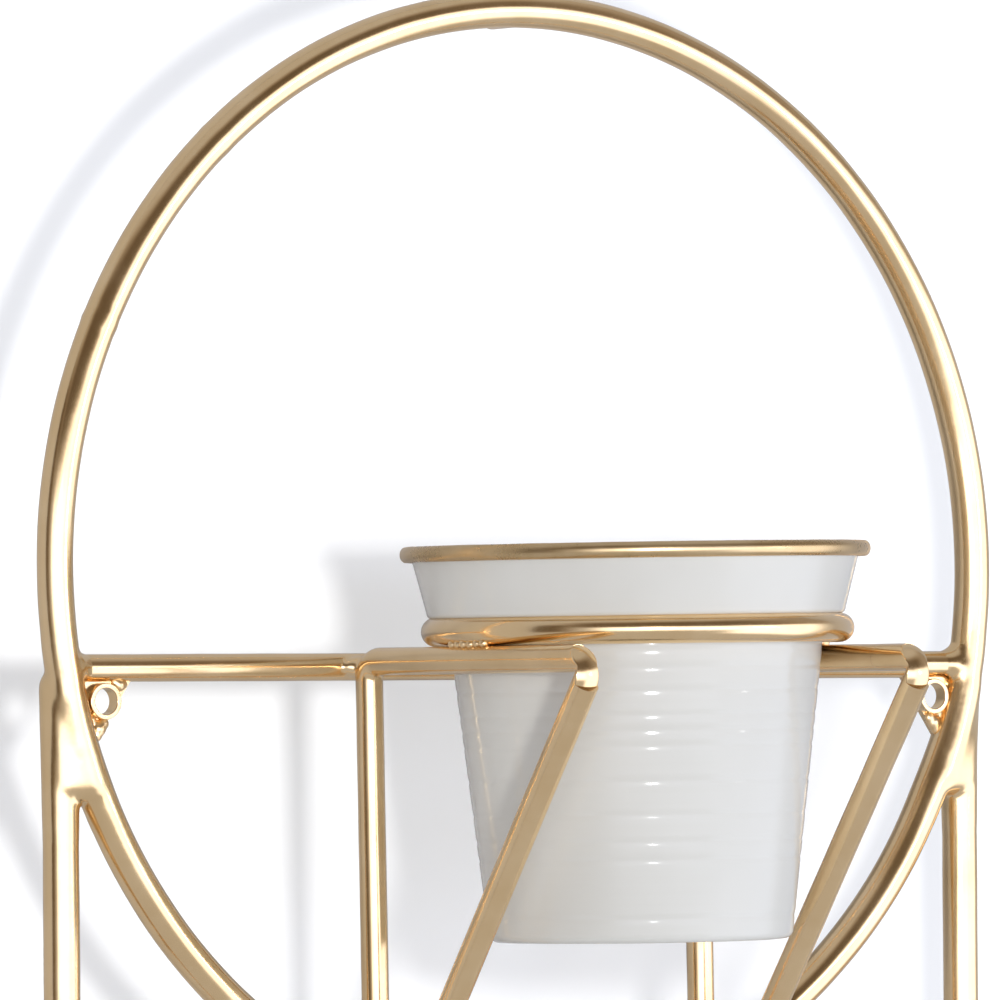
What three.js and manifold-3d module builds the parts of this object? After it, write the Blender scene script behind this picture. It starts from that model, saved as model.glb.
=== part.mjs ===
// Wall planter: two round hoops stacked one over the other between two side rods, each with
// a crossbar and two triangular brackets that hold a pot in a ring. Millimetres, +Z up,
// +X to the right for someone who faces the wall, and the wall behind at +Y. The origin is
// the back face of the top standoff, where the frame meets the wall.
import * as THREE from 'three';
import * as BufferGeometryUtils from 'three/addons/utils/BufferGeometryUtils.js';
import Module from 'manifold-3d';

const wasm = await Module();
wasm.setup();

// ---- Driving dimensions ----
const gap = 0.3; // clearance wherever one piece is welded to or rests on another

// Frame
const hoopOuterDiameter = 304.8;
const frameRod = 9.5; // diameter of the hoops and side rods
const thinRod = 7.2; // diameter of the crossbars, brackets and pot rings
const crossbarDrop = 26.5; // crossbar axis below the middle of its hoop
const sideRodInset = 2.95; // side rod axis inside the widest point of the hoop's axis
const sideRodBack = 2.7; // side rods lie this far behind the hoops' plane
const flareOut = 1.7; // how far a side rod's end leans out over the hoop
const flareLength = 48;

// Brackets: post, arm and strut bent from one rod
const bracketSpread = 52.5; // bracket plane from the middle of the frame
const armReach = 101; // front of the post to the corner of the arm and the strut
const topBend = 5; // bend radii on the rod's axis
const elbowBend = 3.9;
const strutFootRise = 5.7; // where the strut meets the post, above the hoop it is welded to
const postOverrun = 3; // post end past the hoop it is welded to

// Pot and its ring
const potRingRadius = 52.9; // axis of the ring's rod
const potRingDrop = 17.65; // axis of the ring's rod below the middle of the hoop
const potClearance = 0.4; // pot neck to the inside of its ring
const potHeight = 102.6;
const potCollarHeight = 17.9; // shoulder to lip
const potBottomRadius = 39.9;
const potNeckLength = 8;
const potCollarBottomRadius = 54.9;
const potCollarTopRadius = 58.3;
const potWall = 1.4;
const potCornerRadius = 2.4;
const rimBead = 3.2; // diameter of the bead round the pot's lip

// Wall fixings
const eyeletOuterDiameter = 9.4;
const eyeletBore = 7.1;
const eyeletLength = 2.1;
const eyeletForward = 2; // eyelet front face in front of the hoop's plane
const gussetThickness = 2;
const gussetMargin = 0.6; // plate left outside the eyelet at its free edge
const gussetSlope = THREE.MathUtils.degToRad(56); // free edge from the horizontal
const standoffDiameter = 9;
const wallDistance = 14; // wall behind the hoops' plane

// Facets
const hoopSegments = 80;
const frameRodSides = 12;
const thinRodSides = 12;
const potRingSegments = 64;
const potSegments = 56;
const rimSides = 8;
const eyeletSegments = 24;
const bendSteps = 5;
const curveSteps = 3;

// ---- Sizes that follow ----
const frameRadius = frameRod / 2;
const thinRadius = thinRod / 2;
const hoopRadius = hoopOuterDiameter / 2 - frameRadius;
const hoopSpacing = hoopOuterDiameter + gap; // middle of one hoop to middle of the other
const sideRodSpread = hoopRadius - sideRodInset; // side rod axis from the middle of the frame
const sideRodEndDrop = Math.sqrt(hoopRadius ** 2 - sideRodSpread ** 2); // axis on the hoop's
const crossbarBack = frameRadius - thinRadius; // the crossbar lies flush with the hoop's back
const postTopY = crossbarBack - thinRod - gap;
const postFootY = -(frameRadius + gap + thinRadius); // in front of the hoops it crosses
const armDrop = potRingDrop + thinRod + gap; // the pot ring lies on the arms
const elbowY = postTopY - armReach;
const hoopCrossing = Math.sqrt(hoopRadius ** 2 - bracketSpread ** 2); // post over the hoop's axis
const potNeckRadius = potRingRadius - thinRadius - potClearance;
const potCentreY = crossbarBack - thinRadius - gap - potNeckRadius; // just clear of the crossbar
const shoulderZ = -potRingDrop + thinRadius + gap;
const potTopZ = shoulderZ + potCollarHeight;
const potBottomZ = potTopZ - potHeight;

// ---- Helpers ----
const gold = new THREE.MeshStandardMaterial({ color: 0xc6a368, roughness: 0.32, metalness: 1 });
const enamel = new THREE.MeshStandardMaterial({ color: 0xdad8d4, roughness: 0.25, metalness: 0 });

function point(x, y, z) {
  return new THREE.Vector3(x, y, z);
}

// A path given by its own stations, so that straight runs take no steps.
class StationPath extends THREE.Curve {
  constructor(stations) {
    super();
    this.stations = stations;
  }

  at(u) {
    return this.stations[Math.round(u * (this.stations.length - 1))];
  }

  getPointAt(u) {
    return this.at(u).place.clone();
  }

  getTangentAt(u) {
    return this.at(u).along.clone();
  }

  getSpacedPoints() {
    return this.stations.map((station) => station.place.clone());
  }
}

// Stations along a line through the corners, each corner rounded to its bend radius.
function bentStations(corners) {
  const stations = [];
  const last = corners.length - 1;
  corners.forEach(({ place, bend }, index) => {
    if (index === 0 || index === last) {
      const along = index === 0
        ? corners[1].place.clone().sub(place).normalize()
        : place.clone().sub(corners[last - 1].place).normalize();
      stations.push({ place, along });
      return;
    }
    const inward = place.clone().sub(corners[index - 1].place).normalize();
    const outward = corners[index + 1].place.clone().sub(place).normalize();
    const turn = inward.angleTo(outward);
    const start = place.clone().addScaledVector(inward, -bend * Math.tan(turn / 2));
    const toCentre = outward.clone().addScaledVector(inward, -Math.cos(turn)).normalize();
    for (let step = 0; step <= bendSteps; step += 1) {
      const angle = turn * step / bendSteps;
      stations.push({
        place: start.clone()
          .addScaledVector(inward, bend * Math.sin(angle))
          .addScaledVector(toCentre, bend * (1 - Math.cos(angle))),
        along: inward.clone().multiplyScalar(Math.cos(angle))
          .addScaledVector(toCentre, Math.sin(angle)),
      });
    }
  });
  return stations;
}

// A round rod swept along stations.
function sweptRod(stations, radius, sides) {
  const section = new THREE.Shape();
  section.absarc(0, 0, radius, 0, 2 * Math.PI);
  return new THREE.ExtrudeGeometry(section, {
    curveSegments: sides / 2,
    steps: stations.length - 1,
    extrudePath: new StationPath(stations),
  });
}

function straightRod(from, to, radius, sides) {
  return sweptRod(bentStations([{ place: from }, { place: to }]), radius, sides);
}

function solid(geometry) {
  const bare = geometry.clone();
  bare.deleteAttribute('normal');
  bare.deleteAttribute('uv');
  const merged = BufferGeometryUtils.mergeVertices(bare);
  return new wasm.Manifold(new wasm.Mesh({
    numProp: 3,
    vertProperties: merged.attributes.position.array,
    triVerts: new Uint32Array(merged.index.array),
  }));
}

function geometryOf(manifold) {
  const { vertProperties, triVerts } = manifold.getMesh();
  const geometry = new THREE.BufferGeometry();
  geometry.setAttribute('position', new THREE.BufferAttribute(vertProperties, 3));
  geometry.setIndex(new THREE.BufferAttribute(triVerts, 1));
  return geometry;
}

function named(name, geometry, material) {
  const mesh = new THREE.Mesh(geometry, material);
  mesh.name = name;
  return mesh;
}

// ---- Frame ----
// A hoop round the Y axis, or the space it takes with clearance.
function hoopGeometry(clearance = 0) {
  const hoop = new THREE.TorusGeometry(
    hoopRadius, frameRadius + clearance, frameRodSides, hoopSegments);
  return hoop.rotateX(Math.PI / 2);
}

// The rod from side to side across a hoop, coped to the hoop at both ends.
function crossbarGeometry() {
  const end = Math.sqrt(hoopRadius ** 2 - crossbarDrop ** 2);
  const rod = straightRod(
    point(-end, crossbarBack, -crossbarDrop), point(end, crossbarBack, -crossbarDrop),
    thinRadius, thinRodSides);
  return geometryOf(solid(rod).subtract(solid(hoopGeometry(gap))));
}

// One side rod in the frame of the upper hoop. Both its ends flare out and lie against
// the hoops, which cut their places out of it.
function sideRodStations() {
  const ends = [];
  for (let step = 0; step <= bendSteps; step += 1) {
    const run = step / bendSteps;
    const lean = Math.atan(2 * flareOut * (1 - run) / flareLength);
    ends.push({
      place: point(
        sideRodSpread + flareOut * (1 - run) ** 2, sideRodBack, -sideRodEndDrop - flareLength * run),
      along: point(-Math.sin(lean), 0, -Math.cos(lean)),
    });
  }
  const mirrored = ends.map(({ place, along }) => ({
    place: point(place.x, place.y, -hoopSpacing - place.z),
    along: point(-along.x, 0, along.z),
  }));
  return [...ends, ...mirrored.reverse()];
}

function sideRodGeometry() {
  const upperHoop = solid(hoopGeometry(gap));
  const lowerHoop = upperHoop.translate([0, 0, -hoopSpacing]);
  const rod = solid(sweptRod(sideRodStations(), frameRadius, frameRodSides));
  return geometryOf(rod.subtract(upperHoop).subtract(lowerHoop));
}

// ---- Brackets ----
// Post, arm and strut: one rod bent at the top and at the elbow, its strut welded to the
// post near the foot. The post leans forward a little, so that it passes in front of the
// crossbar and of the hoops.
function bracketGeometry(crossingDrop) {
  const leanPerDrop = (postFootY - postTopY) / (hoopCrossing - armDrop);
  const postY = (drop) => postTopY + leanPerDrop * (drop - armDrop);
  const elbow = point(0, elbowY, -armDrop);
  const footDrop = crossingDrop - strutFootRise;
  const postEndDrop = crossingDrop + postOverrun;
  const foot = point(0, postY(footDrop), -footDrop);
  const armMiddle = point(0, potCentreY, -armDrop);
  const armOverlap = point(0, potCentreY - thinRadius, -armDrop);
  const postAndArm = sweptRod(bentStations([
    { place: point(0, postY(postEndDrop), -postEndDrop) },
    { place: point(0, postTopY, -armDrop), bend: topBend },
    { place: armOverlap },
  ]), thinRadius, thinRodSides);
  const armAndStrut = sweptRod(bentStations([
    { place: armMiddle },
    { place: elbow, bend: elbowBend },
    { place: foot },
  ]), thinRadius, thinRodSides);
  return geometryOf(solid(postAndArm).add(solid(armAndStrut)));
}

// ---- Pots ----
function potRingGeometry() {
  return new THREE.TorusGeometry(potRingRadius, thinRadius, thinRodSides, potRingSegments);
}

// The spun shell: a tapered body, a shoulder that sits on the ring and a flared collar.
function potGeometry() {
  const outer = new THREE.Path();
  outer.moveTo(0, potBottomZ);
  outer.lineTo(potBottomRadius - potCornerRadius, potBottomZ);
  outer.quadraticCurveTo(potBottomRadius, potBottomZ, potBottomRadius, potBottomZ + potCornerRadius);
  outer.lineTo(potNeckRadius, shoulderZ - potNeckLength);
  outer.lineTo(potNeckRadius, shoulderZ);
  outer.lineTo(potCollarBottomRadius - potWall, shoulderZ);
  outer.quadraticCurveTo(potCollarBottomRadius, shoulderZ, potCollarBottomRadius, shoulderZ + potWall);
  outer.lineTo(potCollarTopRadius, potTopZ - rimBead);
  outer.lineTo(potCollarTopRadius, potTopZ);
  outer.lineTo(potCollarTopRadius - potWall, potTopZ);
  outer.lineTo(potCollarTopRadius - potWall, potTopZ - rimBead);
  outer.lineTo(potCollarBottomRadius - potWall, shoulderZ + potWall);
  outer.lineTo(potNeckRadius - potWall, shoulderZ + potWall);
  outer.lineTo(potNeckRadius - potWall, shoulderZ - potNeckLength);
  outer.lineTo(potBottomRadius - potWall, potBottomZ + potCornerRadius);
  outer.lineTo(potBottomRadius - potCornerRadius, potBottomZ + potWall);
  outer.lineTo(0, potBottomZ + potWall);
  return new THREE.LatheGeometry(outer.getPoints(curveSteps), potSegments).rotateX(Math.PI / 2);
}

// The bead that is closed round the lip of the pot.
function rimGeometry() {
  const beadRadius = rimBead / 2;
  const bead = new THREE.TorusGeometry(
    potCollarTopRadius + gap + beadRadius, beadRadius, rimSides, potSegments);
  return bead.translate(0, 0, potTopZ - beadRadius);
}

// ---- Wall fixings ----
// The eyelet nests in the corner under the crossbar, against the hoop.
const eyeletRadius = eyeletOuterDiameter / 2;
const eyeletDrop = crossbarDrop + thinRadius + gap + eyeletRadius;
const eyeletX = Math.sqrt((hoopRadius - frameRadius - gap - eyeletRadius) ** 2 - eyeletDrop ** 2);

function eyeletGeometry() {
  const front = -eyeletLength / 2;
  const back = eyeletLength / 2;
  const profile = [
    new THREE.Vector2(eyeletBore / 2, front),
    new THREE.Vector2(eyeletRadius, front),
    new THREE.Vector2(eyeletRadius, back),
    new THREE.Vector2(eyeletBore / 2, back),
    new THREE.Vector2(eyeletBore / 2, front),
  ];
  return new THREE.LatheGeometry(profile, eyeletSegments);
}

// The plate that closes the same corner behind the eyelet, with its bore, for the right side.
function gussetGeometry() {
  const topZ = -crossbarDrop - thinRadius - gap;
  const arcRadius = hoopRadius - frameRadius - gap;
  const edgeNormal = new THREE.Vector2(-Math.sin(gussetSlope), -Math.cos(gussetSlope));
  const edgeFoot = new THREE.Vector2(eyeletX, -eyeletDrop)
    .addScaledVector(edgeNormal, eyeletRadius + gussetMargin);
  const edgeAlong = new THREE.Vector2(-edgeNormal.y, edgeNormal.x);
  const topCorner = edgeFoot.clone()
    .addScaledVector(edgeAlong, (topZ - edgeFoot.y) / edgeAlong.y);
  const along = edgeFoot.dot(edgeAlong);
  const reach = Math.sqrt(along ** 2 - edgeFoot.lengthSq() + arcRadius ** 2) - along;
  const lowCorner = edgeFoot.clone().addScaledVector(edgeAlong, reach);
  const plate = new THREE.Shape();
  plate.moveTo(topCorner.x, topCorner.y);
  plate.lineTo(lowCorner.x, lowCorner.y);
  plate.absarc(0, 0, arcRadius, lowCorner.angle(), Math.asin(topZ / arcRadius) + 2 * Math.PI, false);
  const bore = new THREE.Path();
  bore.absarc(eyeletX, -eyeletDrop, eyeletBore / 2, 0, 2 * Math.PI, true);
  plate.holes.push(bore);
  return new THREE.ExtrudeGeometry(plate, {
    depth: gussetThickness, bevelEnabled: false, curveSegments: eyeletSegments / 2,
  }).rotateX(Math.PI / 2).translate(0, gussetThickness / 2, 0);
}

// A short foot from the axis of a frame rod to the wall, coped to the rod.
function standoffGeometry(rod, length) {
  const foot = new THREE.CylinderGeometry(
    standoffDiameter / 2, standoffDiameter / 2, length, eyeletSegments);
  foot.translate(0, length / 2, 0);
  return geometryOf(solid(foot).subtract(rod));
}

// ---- Assembly ----
const frame = new THREE.Group();
frame.position.set(0, -wallDistance, -hoopRadius);

const tiers = [
  { name: 'upper', z: 0, crossingDrop: hoopSpacing - hoopCrossing },
  { name: 'lower', z: -hoopSpacing, crossingDrop: hoopCrossing },
];

tiers.forEach(({ name, z, crossingDrop }) => {
  const tier = new THREE.Group();
  tier.position.z = z;
  tier.add(named(`${name}_hoop`, hoopGeometry(), gold));
  tier.add(named(`${name}_crossbar`, crossbarGeometry(), gold));
  const bracket = bracketGeometry(crossingDrop);
  [['left', -bracketSpread], ['right', bracketSpread]].forEach(([side, x]) => {
    const mesh = named(`${name}_${side}_bracket`, bracket, gold);
    mesh.position.x = x;
    tier.add(mesh);
  });
  const seat = new THREE.Group();
  seat.position.y = potCentreY;
  const ring = named(`${name}_pot_ring`, potRingGeometry(), gold);
  ring.position.z = -potRingDrop;
  seat.add(ring);
  seat.add(named(`${name}_pot`, potGeometry(), enamel));
  seat.add(named(`${name}_pot_rim`, rimGeometry(), gold));
  tier.add(seat);
  frame.add(tier);
});

const sideRod = sideRodGeometry();
const rodSpace = solid(straightRod(
  point(0, 0, -standoffDiameter), point(0, 0, standoffDiameter), frameRadius + gap, frameRodSides));
const hoopSpace = solid(hoopGeometry(gap));
const eyelet = eyeletGeometry();
const gusset = gussetGeometry();
const eyeletY = -eyeletForward + eyeletLength / 2;
const gussetY = -eyeletForward + eyeletLength + gap + gussetThickness / 2;

[['left', -1, Math.PI], ['right', 1, 0]].forEach(([side, sign, turn]) => {
  const rod = named(`${side}_side_rod`, sideRod, gold);
  rod.rotation.y = turn; // end for end, which is all the same to it
  rod.position.z = turn ? -hoopSpacing : 0;
  frame.add(rod);
  const ferrule = named(`${side}_wall_eyelet`, eyelet, gold);
  ferrule.position.set(sign * eyeletX, eyeletY, -eyeletDrop);
  frame.add(ferrule);
  const plate = named(`${side}_gusset`, gusset, gold);
  plate.rotation.z = turn;
  plate.position.y = gussetY;
  frame.add(plate);
  const foot = named(
    `${side}_standoff`, standoffGeometry(rodSpace, wallDistance - sideRodBack), gold);
  foot.position.set(sign * sideRodSpread, sideRodBack, -hoopSpacing / 2);
  frame.add(foot);
});

[['top', hoopRadius], ['bottom', -hoopSpacing - hoopRadius]].forEach(([end, z]) => {
  const towardHoop = end === 'top' ? -hoopRadius : hoopRadius;
  const space = hoopSpace.translate([0, 0, towardHoop]);
  const foot = named(`${end}_standoff`, standoffGeometry(space, wallDistance), gold);
  foot.position.z = z;
  frame.add(foot);
});

const planter = new THREE.Group();
planter.add(frame);

export default planter;
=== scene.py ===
import math
import random

import bmesh
import bpy
from mathutils import Matrix, Vector, noise


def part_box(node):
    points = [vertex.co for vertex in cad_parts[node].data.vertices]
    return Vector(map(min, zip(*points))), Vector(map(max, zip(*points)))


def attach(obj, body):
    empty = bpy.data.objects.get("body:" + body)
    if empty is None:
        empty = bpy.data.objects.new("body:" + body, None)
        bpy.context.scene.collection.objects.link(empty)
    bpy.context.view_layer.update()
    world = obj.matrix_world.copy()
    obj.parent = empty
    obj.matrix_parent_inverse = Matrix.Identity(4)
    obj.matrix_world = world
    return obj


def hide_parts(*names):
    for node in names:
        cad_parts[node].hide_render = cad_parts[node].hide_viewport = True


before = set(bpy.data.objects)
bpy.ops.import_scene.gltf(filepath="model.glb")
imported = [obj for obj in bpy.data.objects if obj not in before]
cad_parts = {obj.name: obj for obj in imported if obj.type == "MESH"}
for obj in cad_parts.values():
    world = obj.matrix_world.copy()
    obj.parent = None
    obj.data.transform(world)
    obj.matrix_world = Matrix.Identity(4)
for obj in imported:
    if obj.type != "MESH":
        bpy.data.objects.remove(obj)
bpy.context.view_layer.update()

mm = 0.001


def inMetres(values):       # from mm
    return {key: value * mm for key, value in values.items()}


# Camera
cameraPlace = {
    "place": (-1.8468, -2.6896, -0.1904),
    "heading": -34.50,      # degrees from straight at the wall
    "lookUp": 1.064,
    "roll": -0.453,
    "lens": 441.3,          # mm on a 36 mm sensor
}


def addCamera(settings):
    camera = bpy.data.objects.new("photoCamera", bpy.data.cameras.new("photoCamera"))
    bpy.context.scene.collection.objects.link(camera)
    turn = (Matrix.Rotation(math.radians(settings["heading"]), 4, "Z")
            @ Matrix.Rotation(math.radians(90 + settings["lookUp"]), 4, "X")
            @ Matrix.Rotation(math.radians(settings["roll"]), 4, "Z"))
    camera.matrix_world = Matrix.Translation(settings["place"]) @ turn
    camera.data.lens = settings["lens"]
    camera.data.sensor_width = 36
    camera.data.clip_start = 0.1
    camera.data.clip_end = 50
    bpy.context.scene.camera = camera


# Shader maths
class Wire:                 # one output socket, so that materials read as plain sums
    def __init__(self, maker, socket):
        self.maker = maker
        self.socket = socket

    def calculate(self, operation, first, second):
        return self.maker.node("ShaderNodeMath", {"operation": operation}, {0: first, 1: second})["Value"]

    def __add__(self, other):
        return self.calculate("ADD", self, other)

    def __sub__(self, other):
        return self.calculate("SUBTRACT", self, other)

    def __rsub__(self, other):
        return self.calculate("SUBTRACT", other, self)

    def __mul__(self, other):
        return self.calculate("MULTIPLY", self, other)

    def atLeast(self, other):
        return self.calculate("MAXIMUM", self, other)

    __radd__ = __add__
    __rmul__ = __mul__


class Maker:                # adds nodes to one tree
    def __init__(self, tree):
        self.tree = tree
        tree.nodes.clear()

    def node(self, kind, settings=None, values=None):
        made = self.tree.nodes.new(kind)
        for key, value in (settings or {}).items():
            setattr(made, key, value)
        for key, value in (values or {}).items():
            if isinstance(value, Wire):
                self.tree.links.new(value.socket, made.inputs[key])
            else:
                made.inputs[key].default_value = value
        return {output.name: Wire(self, output) for output in made.outputs if output.enabled}

    def noise(self, place, scale, detail=2, roughness=0.5):
        return self.node("ShaderNodeTexNoise", None, {
            "Vector": place, "Scale": scale, "Detail": detail, "Roughness": roughness})["Fac"]

    def mix(self, factor, first, second):
        return self.node("ShaderNodeMix", {"data_type": "RGBA"}, {0: factor, 6: first, 7: second})["Result"]

    def step(self, value, low, high):
        return self.node("ShaderNodeMapRange", {"interpolation_type": "SMOOTHSTEP"}, {
            "Value": value, "From Min": low, "From Max": high})["Result"]

    def bump(self, height, distance, normal=None):
        values = {"Height": height, "Distance": distance}
        if normal:
            values["Normal"] = normal
        return self.node("ShaderNodeBump", None, values)["Normal"]

    def objectPlace(self):
        return self.node("ShaderNodeTexCoord")["Object"]


def newMaterial(name, recipe):
    material = bpy.data.materials.new(name)
    material.use_nodes = True
    maker = Maker(material.node_tree)
    shader = recipe(maker)
    maker.node("ShaderNodeOutputMaterial", None, {"Surface": shader})
    return material


# Finishes
goldFinish = {
    "light": (0.92, 0.68, 0.395), "dark": (0.84, 0.595, 0.315), "worn": (0.95, 0.74, 0.47),
    "roughness": 0.175, "unevenness": 0.05, "grit": 0.06, "wearShare": 0.35,
    "mottle": 38, "wear": 201.4, "pits": 1100, "dents": 90,
    "dentDepth": 0.045 * mm, "pitDepth": 0.003 * mm,
}
weldFinish = dict(goldFinish, dents=230, dentDepth=0.05 * mm, roughness=0.19)
beadFinish = dict(weldFinish, roughness=0.30)
rimFinish = dict(goldFinish, light=(0.72, 0.53, 0.30), dark=(0.58, 0.40, 0.20), roughness=0.29)

enamelFinish = {
    "light": (0.605, 0.592, 0.54), "dark": (0.58, 0.567, 0.515), "speck": (0.20, 0.16, 0.12),
    "roughness": 0.12, "unevenness": 0.03, "gloss": 0.3,
    "cloud": 24, "peel": 420, "peelDepth": 0.0012 * mm,
    "speckScale": 95, "speckEdges": (0.03, 0.05), "speckPatches": 60, "speckShare": 0.8, "speckDull": 0.2,
}


def gold(finish):
    def recipe(maker):
        place = maker.objectPlace()
        mottle = maker.step(maker.noise(place, finish["mottle"], detail=4, roughness=0.6), 0.30, 0.70)
        worn = maker.step(maker.noise(place, finish["wear"], detail=4, roughness=0.65), 0.62, 0.80)
        pits = maker.noise(place, finish["pits"])
        color = maker.mix(mottle, (*finish["dark"], 1), (*finish["light"], 1))
        color = maker.mix(worn * finish["wearShare"], color, (*finish["worn"], 1))
        roughness = finish["roughness"] + (mottle - 0.5) * finish["unevenness"]
        roughness = roughness + (pits - 0.5) * finish["grit"]
        normal = maker.bump(maker.noise(place, finish["dents"], detail=1.5), finish["dentDepth"])
        normal = maker.bump(pits, finish["pitDepth"], normal)
        return maker.node("ShaderNodeBsdfPrincipled", None, {
            "Base Color": color, "Metallic": 1.0, "Roughness": roughness, "Normal": normal,
        })["BSDF"]
    return recipe


def enamel(finish):
    def recipe(maker):
        place = maker.objectPlace()
        cloud = maker.step(maker.noise(place, finish["cloud"], detail=3, roughness=0.55), 0.3, 0.7)
        peel = maker.noise(place, finish["peel"])
        cell = maker.node("ShaderNodeTexVoronoi", {"feature": "F1"}, {
            "Vector": place, "Scale": finish["speckScale"]})["Distance"]
        patch = maker.step(maker.noise(place, finish["speckPatches"], detail=1), 0.68, 0.70)
        speck = (1 - maker.step(cell, *finish["speckEdges"])) * patch
        color = maker.mix(cloud, (*finish["dark"], 1), (*finish["light"], 1))
        color = maker.mix(speck * finish["speckShare"], color, (*finish["speck"], 1))
        roughness = finish["roughness"] + (cloud - 0.5) * finish["unevenness"]
        roughness = roughness + speck * finish["speckDull"]
        return maker.node("ShaderNodeBsdfPrincipled", None, {
            "Base Color": color, "Roughness": roughness, "Specular IOR Level": finish["gloss"],
            "Normal": maker.bump(peel, finish["peelDepth"]),
        })["BSDF"]
    return recipe


frameGold = newMaterial("frameGold", gold(goldFinish))
weldGold = newMaterial("weldGold", gold(weldFinish))
beadGold = newMaterial("beadGold", gold(beadFinish))
rimGold = newMaterial("rimGold", gold(rimFinish))
potEnamel = newMaterial("potEnamel", enamel(enamelFinish))
print("finishes made")


# Mesh helpers
sameSpot = 1e-7             # metres; points closer than this are one
bendSteps = 12
domeSteps = 8


def smoothStep(value, low, high):       # 0 at low, 1 at high
    share = min(1, max(0, (value - low) / (high - low)))
    return share * share * (3 - 2 * share)


def asMesh(bm):
    mesh = bpy.data.meshes.new("shape")
    bm.to_mesh(mesh)
    bm.free()
    return mesh


def addPiece(name, mesh, material, body="frame", nodes=(), sharp=35):
    mesh.name = name
    mesh.polygons.foreach_set("use_smooth", [True] * len(mesh.polygons))
    mesh.set_sharp_from_angle(angle=math.radians(sharp))
    mesh.materials.clear()
    mesh.materials.append(material)
    piece = bpy.data.objects.new(name, mesh)
    bpy.context.scene.collection.objects.link(piece)
    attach(piece, body)
    if nodes:
        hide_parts(*nodes)


def spun(bm, axis, steps):
    bmesh.ops.spin(bm, geom=bm.verts[:] + bm.edges[:], cent=(0, 0, 0), axis=axis, dvec=(0, 0, 0),
                   angle=2 * math.pi, steps=steps, use_merge=True, use_duplicate=False)
    bmesh.ops.remove_doubles(bm, verts=bm.verts[:], dist=sameSpot)
    bmesh.ops.recalc_face_normals(bm, faces=bm.faces[:])


def ringMesh(centre, ringRadius, rodRadius, axis, steps, sides):
    bm = bmesh.new()
    bmesh.ops.create_circle(bm, segments=sides, radius=rodRadius)
    if axis == "Z":
        bmesh.ops.rotate(bm, verts=bm.verts[:], cent=(0, 0, 0), matrix=Matrix.Rotation(math.pi / 2, 3, "X"))
    bmesh.ops.translate(bm, verts=bm.verts[:], vec=(ringRadius, 0, 0))
    spun(bm, (0, 1, 0) if axis == "Y" else (0, 0, 1), steps)
    bmesh.ops.translate(bm, verts=bm.verts[:], vec=centre)
    return bm


def turnedMesh(profile, steps):     # (radius, height) points turned round Z
    bm = bmesh.new()
    points = [bm.verts.new((radius, 0, height)) for radius, height in profile]
    for first, second in zip(points, points[1:]):
        bm.edges.new((first, second))
    spun(bm, (0, 0, 1), steps)
    return bm


def rodMesh(points, radii, sides=32):   # a round rod through the points
    curve = bpy.data.curves.new("rod", "CURVE")
    curve.dimensions = "3D"
    curve.bevel_depth = 1
    curve.bevel_resolution = sides // 2 - 2
    curve.use_fill_caps = True
    line = curve.splines.new("POLY")
    line.points.add(len(points) - 1)
    for stop, place, radius in zip(line.points, points, radii):
        stop.co = (*place, 1)
        stop.radius = radius
    holder = bpy.data.objects.new("rod", curve)
    mesh = bpy.data.meshes.new_from_object(holder)
    bpy.data.objects.remove(holder)
    bpy.data.curves.remove(curve)
    bm = bmesh.new()
    bm.from_mesh(mesh)
    bpy.data.meshes.remove(mesh)
    bmesh.ops.remove_doubles(bm, verts=bm.verts[:], dist=sameSpot)
    bmesh.ops.recalc_face_normals(bm, faces=bm.faces[:])
    return bm


def bentLine(corners, spacing=1.5 * mm):    # corners are (place, bend radius)
    line = [corners[0][0]]
    for (before, _), (place, bend), (after, _) in zip(corners, corners[1:], corners[2:]):
        inward = (place - before).normalized()
        outward = (after - place).normalized()
        turn = inward.angle(outward)
        start = place - inward * bend * math.tan(turn / 2)
        side = (outward - inward * math.cos(turn)).normalized()
        for step in range(bendSteps + 1):
            angle = turn * step / bendSteps
            line.append(start + inward * bend * math.sin(angle) + side * bend * (1 - math.cos(angle)))
    line.append(corners[-1][0])
    dense = [line[0]]
    for place in line[1:]:
        run = place - dense[-1]
        count = max(1, round(run.length / spacing))
        origin = dense[-1]
        dense += [origin + run * (step + 1) / count for step in range(count)]
    return dense


def roundedEnds(points, radius, roundFirst, roundLast):     # line and radii, with domed ends
    def dome(end, inward):
        shares = [1 - math.cos(math.pi / 2 * step / domeSteps) for step in range(domeSteps)]
        return [(end + inward * radius * share, radius * math.sqrt(1 - (1 - share) ** 2)) for share in shares]

    first = dome(points[0], (points[1] - points[0]).normalized()) if roundFirst else []
    last = dome(points[-1], (points[-2] - points[-1]).normalized()) if roundLast else []
    middle = [(place, radius) for place in points
              if (not roundFirst or (place - points[0]).length > radius)
              and (not roundLast or (place - points[-1]).length > radius)]
    stops = first + middle + last[::-1]
    return [place for place, _ in stops], [max(size, radius * 0.02) for _, size in stops]


def rod(points, radius, roundFirst=False, roundLast=False, sides=32):
    line, radii = roundedEnds(points, radius, roundFirst, roundLast)
    return rodMesh(line, radii, sides)


def roughen(bm, depth, size, seed):         # slow unevenness of a hand finished surface
    shift = Vector((seed * 1.7, seed * 3.1, seed * 0.9))
    for vert in bm.verts:
        vert.co += vert.normal * depth * noise.noise(vert.co / size + shift)


def joined(parts):
    whole = bmesh.new()
    for part in parts:
        mesh = asMesh(part)
        whole.from_mesh(mesh)
        bpy.data.meshes.remove(mesh)
    return whole


def soften(bm, passes):
    for _ in range(passes):
        bmesh.ops.smooth_vert(bm, verts=bm.verts[:], factor=0.5,
                              use_axis_x=True, use_axis_y=True, use_axis_z=True)
    bm.normal_update()


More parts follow.
